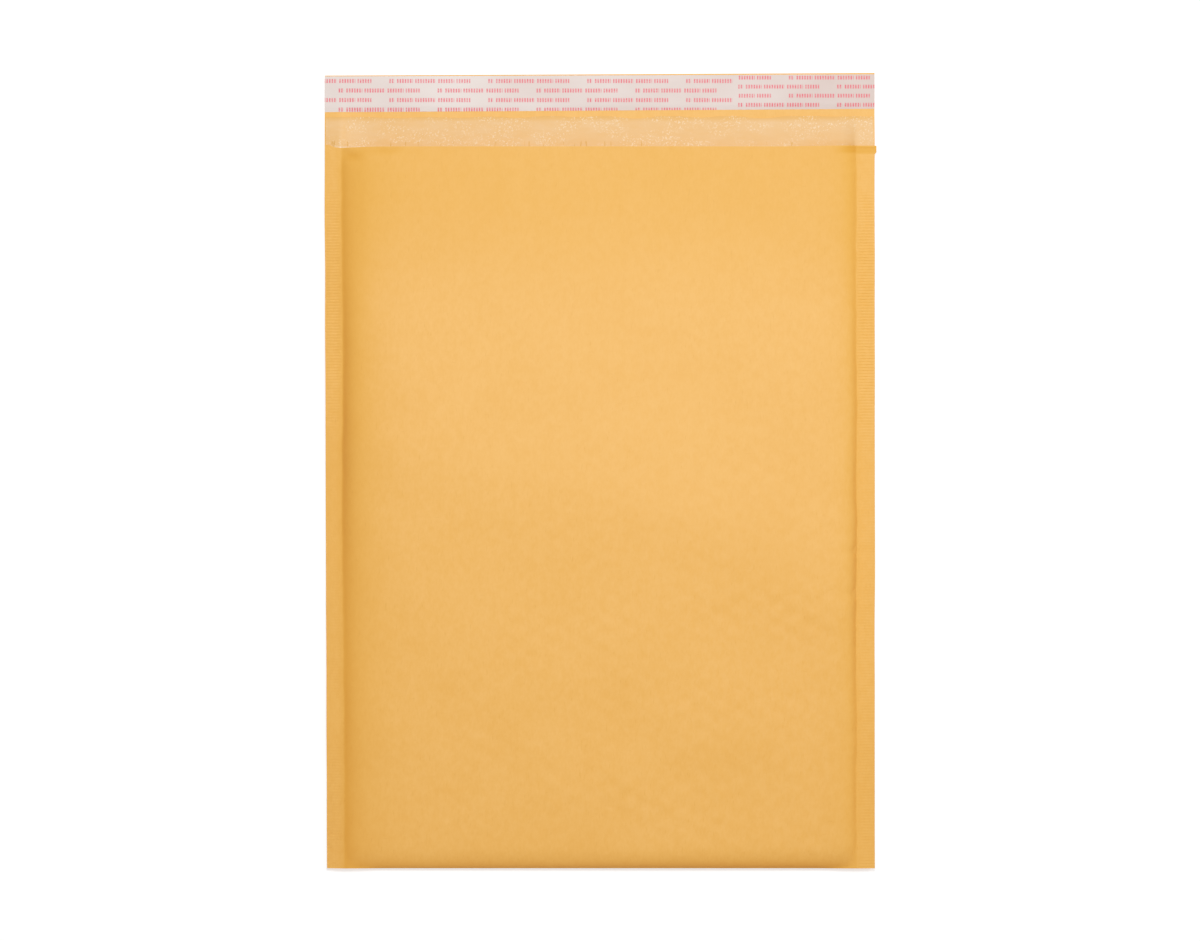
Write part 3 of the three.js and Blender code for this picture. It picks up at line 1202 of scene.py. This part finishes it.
@dataclass
class FlapStrip:
    """A thin strip that lies across the flap, with soft edges."""

    form: EnvelopeForm
    name: str
    left: float
    right: float
    bottom: tuple[float, float]
    top: tuple[float, float]
    clearance: float
    thickness: float
    spacing: float = 1.5
    rows: int = 12
    waviness: float = 0.0
    edge_clearance: float = 0.03
    edge_width: float = 1.0
    seed: int = 71

    def relief(self, x: Field, y: Field) -> Field:
        """How much higher than its lowest the strip lies.

        Args:
            x: Positions across, in millimetres.
            y: Positions along, in millimetres.

        Returns:
            Heights in millimetres.
        """
        waves = 0.5 + 0.3 * Ripples(34.0, self.seed, 10).at(x, y)
        waves = waves + 0.12 * Ripples(9.0, self.seed + 1, 10, 1.6).at(x, y)
        ends = 0.35 + 0.65 * smooth(60.0, 140.0, np.abs(x))
        return self.waviness * np.clip(waves, 0.0, 1.2) * ends

    def build(self) -> bpy.types.Object:
        """Makes the strip as one closed sheet.

        Returns:
            The strip's object.
        """
        builder = MeshBuilder()
        columns = np.linspace(self.left, self.right, round((self.right - self.left) / self.spacing))
        across = np.linspace(0.0, 1.0, self.rows)
        x, share = np.meshgrid(columns, across)
        along = (x - self.left) / (self.right - self.left)
        low = lerp(self.bottom[0], self.bottom[1], along)
        high = lerp(self.top[0], self.top[1], along)
        y = lerp(low, high, share)
        edge = np.minimum(share, 1.0 - share) * (high - low)
        soft = 1.0 - np.clip(1.0 - edge / max(self.thickness, 0.2), 0.0, 1.0) ** 2
        plateau = smooth(0.0, self.edge_width, edge)
        clearance = lerp(self.edge_clearance, self.clearance + self.relief(x, y), plateau)
        base = self.form.paper + clearance
        under = builder.add(self.form.point(x, y, Side.BACK, base))
        over = builder.add(self.form.point(x, y, Side.BACK, base + self.thickness * (0.5 + 0.5 * soft)))
        for skin in (under, over):
            builder.grid(skin)
        for line in ((0, slice(None)), (-1, slice(None)), (slice(None), 0), (slice(None), -1)):
            builder.strip(under[line], over[line])
        return builder.build(self.name, 60.0)


def adhesive_strip(form: EnvelopeForm) -> FlapStrip:
    """The line of hot-melt adhesive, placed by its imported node's box.

    Args:
        form: The envelope's form.

    Returns:
        The strip, ready to be made.
    """
    low, high = (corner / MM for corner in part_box("adhesive_strip"))
    width = 12.0
    return FlapStrip(form, "adhesive_strip_looks", low.x, high.x, (low.y, high.y - width),
                     (low.y + width, high.y), 0.03, 0.28, rows=14)


def release_liner(form: EnvelopeForm) -> FlapStrip:
    """The peel-off liner over the adhesive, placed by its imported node's box.

    Args:
        form: The envelope's form.

    Returns:
        The strip, ready to be made.
    """
    low, high = (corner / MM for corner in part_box("release_liner"))
    return FlapStrip(form, "release_liner_looks", low.x, high.x, (low.y, low.y + 1.8),
                     (high.y - 0.7, high.y + 0.4), 0.36, 0.12, waviness=0.35, edge_width=3.0, rows=20)


# ---- Shaders ----------------------------------------------------------------------------------


class Signal:
    """A socket's value, with the arithmetic that the finishes use."""

    def __init__(self, shader: "Shader", socket: bpy.types.NodeSocket) -> None:
        """Wraps a socket of a shader's node."""
        self.shader = shader
        self.socket = socket

    def math(self, operation: str, *values: Any) -> "Signal":
        """Adds a Math node over the given values, numbers or signals."""
        inputs = dict(enumerate(values))
        return self.shader.node("ShaderNodeMath", {"operation": operation}, inputs)

    def __add__(self, other: Any) -> "Signal":
        """Adds a value."""
        return self.math("ADD", self, other)

    def __radd__(self, other: Any) -> "Signal":
        """Adds to a value."""
        return self.math("ADD", other, self)

    def __sub__(self, other: Any) -> "Signal":
        """Takes a value away."""
        return self.math("SUBTRACT", self, other)

    def __rsub__(self, other: Any) -> "Signal":
        """Takes this away from a value."""
        return self.math("SUBTRACT", other, self)

    def __mul__(self, other: Any) -> "Signal":
        """Multiplies by a value."""
        return self.math("MULTIPLY", self, other)

    def __rmul__(self, other: Any) -> "Signal":
        """Multiplies a value."""
        return self.math("MULTIPLY", other, self)

    def __truediv__(self, other: Any) -> "Signal":
        """Divides by a value."""
        return self.math("DIVIDE", self, other)

    def ease(self, low: float, high: float) -> "Signal":
        """Eases from 0 at low to 1 at high."""
        settings = {"interpolation_type": "SMOOTHSTEP"}
        return self.shader.node("ShaderNodeMapRange", settings, {0: self, 1: low, 2: high})

    def within(self, low: float, high: float, soft: float) -> "Signal":
        """Is 1 between two values and 0 outside them, with soft edges."""
        return self.ease(low - soft, low + soft) * (1.0 - self.ease(high - soft, high + soft))


Colour = tuple[float, float, float, float]


class Shader:
    """One material's nodes."""

    def __init__(self, name: str) -> None:
        """Makes a material with a plain surface shader.

        Args:
            name: The material's name.
        """
        self.material = bpy.data.materials.new(name)
        self.material.use_nodes = True
        self.tree = self.material.node_tree
        self.surface = next(n for n in self.tree.nodes if n.type == "BSDF_PRINCIPLED")

    def node(
        self,
        kind: str,
        settings: dict[str, Any] | None = None,
        inputs: dict[int | str, Any] | None = None,
        output: int | str = 0,
    ) -> Signal:
        """Adds any node.

        Args:
            kind: The node's type.
            settings: Its settings, set first; "stops" fills a colour ramp.
            inputs: Values or signals for its sockets, by name or number.
            output: The socket to return.

        Returns:
            The chosen output.
        """
        made = self.tree.nodes.new(kind)
        for key, value in (settings or {}).items():
            setattr(made, key, value)
        for key, value in (inputs or {}).items():
            if isinstance(value, Signal):
                self.tree.links.new(value.socket, made.inputs[key])
            else:
                made.inputs[key].default_value = value
        return Signal(self, made.outputs[output])

    def axes(self) -> tuple[Signal, Signal, Signal]:
        """The point's place in the envelope's frame, in millimetres.

        Returns:
            The three coordinates.
        """
        place = self.node("ShaderNodeTexCoord", output="Object")
        split = self.node("ShaderNodeSeparateXYZ", None, {0: place}).socket.node
        return tuple(Signal(self, out) * 1000.0 for out in split.outputs)

    def noise(self, size: float, detail: float = 2.0, stretch: Sequence[float] = (1, 1, 1)) -> Signal:
        """Soft random values.

        Args:
            size: The typical distance from one light patch to the next, in millimetres.
            detail: How many finer layers are laid over it.
            stretch: How much longer the patches are along each axis.

        Returns:
            Values around 0.5.
        """
        place = self.node("ShaderNodeTexCoord", output="Object")
        scale = tuple(1000.0 / size / s for s in stretch)
        inputs = {0: place, 1: scale}
        scaled = self.node("ShaderNodeVectorMath", {"operation": "MULTIPLY"}, inputs)
        inputs = {"Vector": scaled, "Scale": 1.0, "Detail": detail, "Roughness": 0.5}
        return self.node("ShaderNodeTexNoise", None, inputs)

    def mix(self, factor: Signal | float, a: Colour | Signal, b: Colour | Signal) -> Signal:
        """Goes from colour a at 0 to colour b at 1."""
        settings = {"data_type": "RGBA", "blend_type": "MIX"}
        return self.node("ShaderNodeMix", settings, {0: factor, 6: a, 7: b}, 2)

    def bump(self, height: Signal, distance: float, strength: float = 1.0) -> Signal:
        """Turns a height into a normal.

        Args:
            height: The height signal.
            distance: How many millimetres a height of 1 stands for.
            strength: How plain the bump is, from 0 to 1.

        Returns:
            The normal.
        """
        inputs = {"Height": height, "Distance": distance * MM, "Strength": strength}
        return self.node("ShaderNodeBump", None, inputs, "Normal")

    def set(self, **values: Any) -> None:
        """Sets the surface shader's sockets, named with _ for spaces."""
        for key, value in values.items():
            socket = self.surface.inputs[key.replace("_", " ")]
            if isinstance(value, Signal):
                self.tree.links.new(value.socket, socket)
            else:
                socket.default_value = value


def tone(red: float, green: float, blue: float) -> Colour:
    """An opaque colour."""
    return (red, green, blue, 1.0)


@dataclass(frozen=True)
class KraftPaper:
    """Smooth golden kraft paper with fine fibres and a faint cloudiness, with painted shade laid over it.
    """

    base: Colour = tone(0.804, 0.420, 0.163)
    pale: Colour = tone(0.852, 0.465, 0.196)
    dark: Colour = tone(0.735, 0.364, 0.131)
    fibre: Colour = tone(0.600, 0.295, 0.105)
    # The deep orange that painted shade darkens the paper towards.
    painted_shade_tone: Colour = tone(0.680, 0.330, 0.085)

    def material(self) -> bpy.types.Material:
        """Makes the material.

        Returns:
            The material.
        """
        shader = Shader("kraft_paper")
        clouds = shader.noise(26.0, 3.0).ease(0.30, 0.70)
        grain = shader.noise(1.1, 2.0, (1.0, 2.2, 1.0))
        fibres = shader.noise(0.55, 1.0, (1.0, 9.0, 1.0)).ease(0.66, 0.80)
        cross = shader.noise(0.55, 1.0, (8.0, 1.0, 1.0)).ease(0.69, 0.82)
        formation = shader.noise(3.4, 2.0, (1.0, 1.4, 1.0)).ease(0.28, 0.72)
        paler = clouds * 0.16 + formation * 0.34 + grain.ease(0.25, 0.75) * 0.34
        body = shader.mix(paler, self.base, self.pale)
        body = shader.mix(shader.noise(60.0, 2.0).ease(0.45, 0.75) * 0.10, body, self.dark)
        # Painted shade: the cover's attribute darkens the paper beside the creases, on the seams, along the
        # fold, at the mouth and over the upper panel.
        painted_shade = shader.node("ShaderNodeAttribute", {"attribute_name": PAINTED_SHADE}, None, "Fac")
        body = shader.mix(painted_shade, body, self.painted_shade_tone)
        flecks = fibres * 0.24 + cross * 0.16
        colour = shader.mix(flecks, body, self.fibre)
        fine = grain * 0.6 + shader.noise(0.4, 2.0, (1.0, 3.0, 1.0)) * 0.4
        shader.set(
            Base_Color=colour,
            Roughness=0.50 + grain * 0.16,
            Normal=shader.bump(fine, 0.02, 0.5),
            Specular_IOR_Level=0.2,
            Sheen_Weight=0.05,
        )
        return shader.material


@dataclass(frozen=True)
class BubbleFilm:
    """Clear, slightly milky film that takes on the paper's colour behind it."""

    kraft: Colour = tone(0.735, 0.395, 0.158)
    wet: Colour = tone(0.770, 0.450, 0.225)
    milky: Colour = tone(0.790, 0.495, 0.275)
    # Colour of the painted glints on the film.
    painted_glint: Colour = tone(0.96, 0.76, 0.52)
    mouth_streak: Colour = tone(0.60, 0.290, 0.100)
    # Film inside the pocket: the film's own milky tone, and painted light that lifts the dark pocket.
    pocket: Colour = tone(0.84, 0.70, 0.52)
    margin: tuple[float, float] = (171.0, 187.4)

    def material(self) -> bpy.types.Material:
        """Makes the material.

        Returns:
            The material.
        """
        shader = Shader("bubble_film")
        x, y, _ = shader.axes()
        clouds = shader.noise(17.0, 3.0, (1.4, 1.0, 1.0)).ease(0.34, 0.68)
        streaks = shader.noise(2.6, 2.0, (3.5, 1.0, 1.0)).ease(0.35, 0.7)
        body = shader.mix(clouds * 0.6 + streaks * 0.3, self.wet, self.milky)
        rim = y.ease(self.margin[1] - 3.4, self.margin[1] - 0.2)
        body = shader.mix(rim * 0.75, body, self.kraft)
        # Darker orange streaks along the film's lowest few millimetres above the mouth.
        mouth_streaks = shader.noise(2.4, 1.0, (0.45, 5.0, 1.0)).ease(0.66, 0.74)
        beside_mouth = y.within(self.margin[0], self.margin[0] + 3.2, 0.6)
        body = shader.mix(mouth_streaks * beside_mouth * 0.5, body, self.mouth_streak)
        # Inside the pocket the film is paler and milkier: partly its own milky tone, partly painted light
        # lifting the pocket's shade.
        flat = y.ease(self.margin[0] - 2.0, self.margin[0] + 1.0)
        body = shader.mix(flat, self.pocket, body)
        # Painted glints: patches of fine bright specks mixed into the film's colour.
        grains = shader.noise(0.8, 2.0).ease(0.54, 0.68)
        where = shader.noise(9.0, 2.0, (1.6, 1.0, 1.0)).ease(0.38, 0.62)
        colour = shader.mix(grains * where * 0.50, body, self.painted_glint)
        fine = shader.noise(1.6, 3.0)
        shader.set(
            Base_Color=colour,
            Roughness=0.26 + flat * 0.30 + clouds * 0.08,
            Normal=shader.bump(fine, 0.08, 0.5),
            Specular_IOR_Level=0.2,
            Coat_Weight=0.5 - flat * 0.5,
            Coat_Roughness=0.15,
        )
        return shader.material


@dataclass(frozen=True)
class HotMelt:
    """Amber hot-melt adhesive."""

    base: Colour = tone(0.80, 0.60, 0.26)
    pale: Colour = tone(0.88, 0.74, 0.44)

    def material(self) -> bpy.types.Material:
        """Makes the material.

        Returns:
            The material.
        """
        shader = Shader("hot_melt")
        clouds = shader.noise(6.0, 2.0, (3.0, 1.0, 1.0))
        shader.set(
            Base_Color=shader.mix(clouds.ease(0.3, 0.7), self.base, self.pale),
            Roughness=0.25 + clouds * 0.2,
            Normal=shader.bump(clouds, 0.1, 0.5),
        )
        return shader.material


@dataclass(frozen=True)
class PrintedLiner:
    """Pale silicone paper with staggered rows of small, plain red blocks."""

    paper: Colour = tone(0.725, 0.640, 0.600)
    shade: Colour = tone(0.610, 0.485, 0.440)
    ink: Colour = tone(0.740, 0.150, 0.190)
    row_pitch: tuple[float, float] = (5.05, 4.8)
    first_row: tuple[float, float] = (206.05, 207.85)
    phrase_start: tuple[float, float] = (-111.3, -109.3)
    phrase_pitch: float = 52.3
    stagger: float = 26.8
    bar_height: float = 2.2
    block_pitch: float = 1.36
    block_share: float = 0.66
    bars: tuple[tuple[float, float], ...] = (
        (0.0, 2.8), (3.9, 12.6), (13.7, 24.6), (25.7, 34.4), (35.5, 42.9)
    )
    join: float = 71.4

    def beside_join(self, x: Signal, pair: tuple[float, float]) -> Signal:
        """Takes a pair's first value left of the liner's join and its second one right of it."""
        return x.math("GREATER_THAN", x, self.join) * (pair[1] - pair[0]) + pair[0]

    def print_mask(self, shader: Shader, x: Signal, y: Signal) -> Signal:
        """Where the bars are printed.

        Args:
            shader: The material's nodes.
            x: Places across the liner, in millimetres.
            y: Places along the envelope, in millimetres.

        Returns:
            1 on a bar and 0 off it.
        """
        down = (self.beside_join(x, self.first_row) - y) / self.beside_join(x, self.row_pitch)
        row = down.math("ROUND", down)
        off_row = down.math("ABSOLUTE", down - row) * self.row_pitch[0]
        half = self.bar_height / 2.0
        in_row = 1.0 - off_row.ease(half - 0.25, half + 0.25)
        odd = row.math("PINGPONG", row, 1.0)
        along = x - self.beside_join(x, self.phrase_start) + odd * self.stagger
        along = along / self.phrase_pitch
        place = along.math("FRACT", along) * self.phrase_pitch
        total = place.within(*self.bars[0], 0.2)
        for bar in self.bars[1:]:
            total = total + place.within(*bar, 0.2)
        seam = 1.0 - x.within(self.join - 0.6, self.join + 0.9, 0.1)
        blocks = place.math("FRACT", place / self.block_pitch)
        blocks = blocks.within(0.0, self.block_share, 0.12)
        return total * in_row * seam * blocks

    def material(self) -> bpy.types.Material:
        """Makes the material.

        Returns:
            The material.
        """
        shader = Shader("silicone_paper")
        x, y, _ = shader.axes()
        clouds = shader.noise(30.0, 2.0, (2.0, 1.0, 1.0)).ease(0.35, 0.7)
        paper = shader.mix(clouds * 0.4 + x.ease(-60.0, 150.0) * 0.6, self.paper, self.shade)
        wear = shader.noise(0.9, 2.0).ease(0.25, 0.6) * 0.35 + 0.5
        colour = shader.mix(self.print_mask(shader, x, y) * wear, paper, self.ink)
        fine = shader.noise(5.0, 3.0, (1.0, 0.6, 1.0))
        shader.set(
            Base_Color=colour,
            Roughness=0.54 + clouds * 0.08,
            Normal=shader.bump(fine, 0.06, 0.5),
            Specular_IOR_Level=0.2,
        )
        return shader.material


@dataclass(frozen=True)
class PaleFloor:
    """A white studio floor, lit a little from within like a light table."""

    base: Colour = tone(0.62, 0.62, 0.62)
    glow: float = 0.52

    def material(self) -> bpy.types.Material:
        """Makes the material.

        Returns:
            The material.
        """
        shader = Shader("pale_floor")
        soft = shader.noise(400.0, 1.0).ease(0.2, 0.8)
        shader.set(
            Base_Color=shader.mix(soft * 0.03, self.base, tone(0.58, 0.58, 0.58)),
            Roughness=0.9,
            Specular_IOR_Level=0.0,
            Emission_Color=tone(1.0, 1.0, 1.0),
            Emission_Strength=self.glow,
        )
        return shader.material


# ---- Stage ------------------------------------------------------------------------------------


@dataclass(frozen=True)
class Lamp:
    """A round softbox that faces the envelope."""

    name: str
    share: float
    azimuth: float
    elevation: float
    distance: float
    size: float

    def build(self) -> None:
        """Makes the lamp, bright enough to give its share of the light on the floor."""
        azimuth, elevation = math.radians(self.azimuth), math.radians(self.elevation)
        flat = math.cos(elevation)
        direction = Vector((flat * math.cos(azimuth), flat * math.sin(azimuth), math.sin(elevation)))
        data = bpy.data.lights.new(self.name, "AREA")
        data.shape = "DISK"
        data.size = self.size
        data.energy = self.share * math.pi**2 * self.distance**2 / math.sin(elevation)
        lamp = bpy.data.objects.new(self.name, data)
        lamp.location = direction * self.distance
        lamp.rotation_euler = direction.to_track_quat("Z", "Y").to_euler()
        bpy.context.scene.collection.objects.link(lamp)


@dataclass
class Studio:
    """The floor, the camera straight above and the soft lights from the top and the right."""

    frame_width: float = 0.6336
    camera_height: float = 2.5
    focus_height: float = 0.004
    aim: tuple[float, float] = (0.00013, 0.00013)
    sensor: float = 36.0
    floor_half: float = 3.0
    floor_gap: float = 0.0002
    dome: float = 0.36
    key: Lamp = Lamp("key", 0.60, 82.0, 72.0, 1.25, 0.4)
    side: Lamp = Lamp("side", 0.12, 20.0, 45.0, 3.0, 0.9)
    response: tuple[tuple[float, float], ...] = (
        (0.0, 0.0), (0.15, 0.093), (0.21, 0.165), (0.35, 0.36), (0.5, 0.535),
        (0.66, 0.70), (0.9, 0.91), (1.0, 0.98)
    )

    def floor(self) -> bpy.types.Object:
        """Makes the floor.

        Returns:
            The floor.
        """
        mesh = bpy.data.meshes.new("floor")
        half = self.floor_half
        turns = ((-half, -half), (half, -half), (half, half), (-half, half))
        mesh.from_pydata([(*turn, -self.floor_gap) for turn in turns], [], [(0, 1, 2, 3)])
        floor = bpy.data.objects.new("floor", mesh)
        floor.data.materials.append(PaleFloor().material())
        bpy.context.scene.collection.objects.link(floor)
        return floor

    def camera(self) -> None:
        """Makes the camera, which looks straight down with the flap at the top."""
        data = bpy.data.cameras.new("camera")
        data.sensor_width = self.sensor
        data.lens = self.sensor * (self.camera_height - self.focus_height) / self.frame_width
        data.clip_end = 20.0
        camera = bpy.data.objects.new("camera", data)
        camera.location = (*self.aim, self.camera_height)
        bpy.context.scene.collection.objects.link(camera)
        bpy.context.scene.camera = camera

    def set_response(self, view: bpy.types.ColorManagedViewSettings) -> None:
        """Gives the picture the gentle contrast of a studio camera.

        Args:
            view: The scene's view settings.
        """
        view.use_curve_mapping = True
        curve = view.curve_mapping.curves[3]
        ends = (self.response[0], self.response[-1])
        for point, place in zip(curve.points, ends):
            point.location = place
        for place in self.response[1:-1]:
            curve.points.new(*place)
        view.curve_mapping.update()

    def lights(self) -> None:
        """Makes the dome and both lamps."""
        scene = bpy.context.scene
        world = bpy.data.worlds.new("studio")
        world.use_nodes = True
        background = world.node_tree.nodes["Background"]
        background.inputs["Color"].default_value = (1.0, 1.0, 1.0, 1.0)
        background.inputs["Strength"].default_value = self.dome
        scene.world = world
        self.key.build()
        self.side.build()

    def build(self) -> bpy.types.Object:
        """Makes the whole stage.

        Returns:
            The floor.
        """
        scene = bpy.context.scene
        scene.view_settings.view_transform = "Standard"
        scene.view_settings.look = "None"
        self.set_response(scene.view_settings)
        self.camera()
        self.lights()
        return self.floor()


# ---- Assembly ---------------------------------------------------------------------------------


@dataclass(frozen=True)
class Dress:
    """What a piece stands for and what it is finished with."""

    node: str
    slot: str
    finish: Callable[[], bpy.types.Material]

    def apply(self, piece: bpy.types.Object) -> None:
        """Dresses a piece and fixes it to the envelope.

        Args:
            piece: The finished mesh object.
        """
        piece.data.materials.append(self.finish())
        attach(piece, "root")
        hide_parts(self.node)
        log.info("%s: %d faces for %s", piece.name, len(piece.data.polygons), self.node)


def main() -> None:
    """Builds the stage and every piece in order."""
    logging.basicConfig(level=logging.INFO, format="%(name)s: %(message)s")
    Studio().build()
    form = form_from_frame()
    cover = KraftCover(form).build()
    Dress("kraft_cover", "kraft_paper", KraftPaper().material).apply(cover)
    lining = BubbleLining(form).build()
    Dress("bubble_lining", "bubble_film", BubbleFilm().material).apply(lining)
    adhesive = adhesive_strip(form).build()
    Dress("adhesive_strip", "hot_melt", HotMelt().material).apply(adhesive)
    liner = release_liner(form).build()
    Dress("release_liner", "silicone_paper", PrintedLiner().material).apply(liner)


if __name__ == "__main__":
    main()
